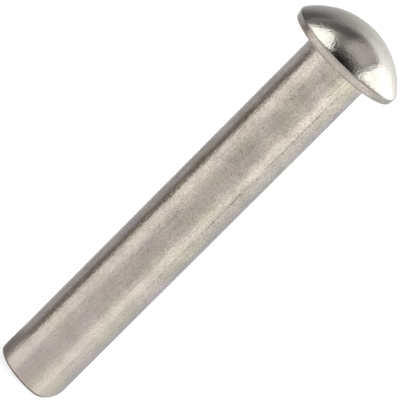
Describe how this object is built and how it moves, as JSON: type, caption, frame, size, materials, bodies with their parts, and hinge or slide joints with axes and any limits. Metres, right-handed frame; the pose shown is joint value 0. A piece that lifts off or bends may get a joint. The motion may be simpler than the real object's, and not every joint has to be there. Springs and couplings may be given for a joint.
{
  "type": "round head rivet",
  "caption": "Solid rivet with a plain round shank, a low domed head with a short blunt rim, and a tail cropped slightly out of square with one rolled edge.",
  "frame": {"origin": "on the shank's axis, at the level of the longest point of the tail, where the rivet stands", "axes": "+Z along the shank's axis from the tail to the crown of the head; +X towards the side where the tail's edge is rolled over; +Y completes the right-handed frame"},
  "size_m": [0.0138, 0.0138, 0.0538],
  "materials": {
    "steel": "stainless steel, satin and finely mottled on the shank, matt on the rim, bright on the dome"
  },
  "bodies": {
    "root": {"rivet": "steel"}
  },
  "joints": []
}
